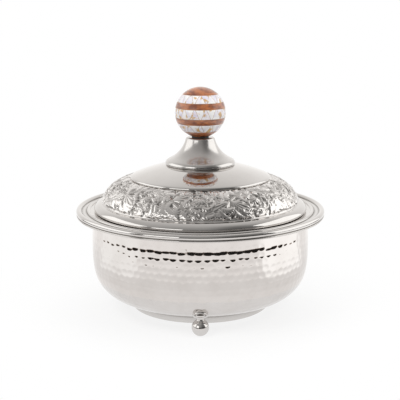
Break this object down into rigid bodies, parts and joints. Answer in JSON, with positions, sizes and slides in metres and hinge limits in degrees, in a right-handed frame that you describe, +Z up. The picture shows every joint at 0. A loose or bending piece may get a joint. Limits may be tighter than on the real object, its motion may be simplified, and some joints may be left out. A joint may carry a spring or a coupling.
{
  "type": "lidded serving bowl",
  "caption": "Round double-walled metal serving bowl on ball feet, with a flanged rim and a domed lift-off lid with an inlaid ball knob, for holding and covering food.",
  "frame": {"origin": "on the floor, on the bowl's axis", "axes": "+Z up along the bowl's axis, -Y towards the foot in front"},
  "size_m": [0.25, 0.25, 0.2251],
  "materials": {
    "polished_metal": "mirror polished nickel-coloured sheet",
    "hammered_metal": "polished, with rows of hammered hollows",
    "embossed_metal": "polished, with an embossed leaf scroll",
    "dark_washer": "matt",
    "brown_wood": "turned and lacquered",
    "shell_inlay": "polished shell tiles",
    "brass_insert": "turned",
    "screw_steel": "plain"
  },
  "bodies": {
    "bowl": {"inner_bowl": "polished_metal", "outer_shell": "hammered_metal", "base_pan": "polished_metal", "front_foot": "polished_metal", "rear_right_foot": "polished_metal", "rear_left_foot": "polished_metal"},
    "lid": {"lid_shell": "embossed_metal", "lid_cap": "polished_metal", "bell_collar": "polished_metal", "knob_washer": "dark_washer", "knob_core": "brown_wood", "pearl_tiles_upper": "shell_inlay", "pearl_tiles_middle": "shell_inlay", "pearl_tiles_lower": "shell_inlay", "knob_insert": "brass_insert", "knob_screw": "screw_steel", "screw_washer": "screw_steel"}
  },
  "joints": [
    {"name": "lid_lift", "type": "slide", "parent": "bowl", "child": "lid", "axis": [0, 0, 1], "range_m": [0, 0.12]}
  ]
}
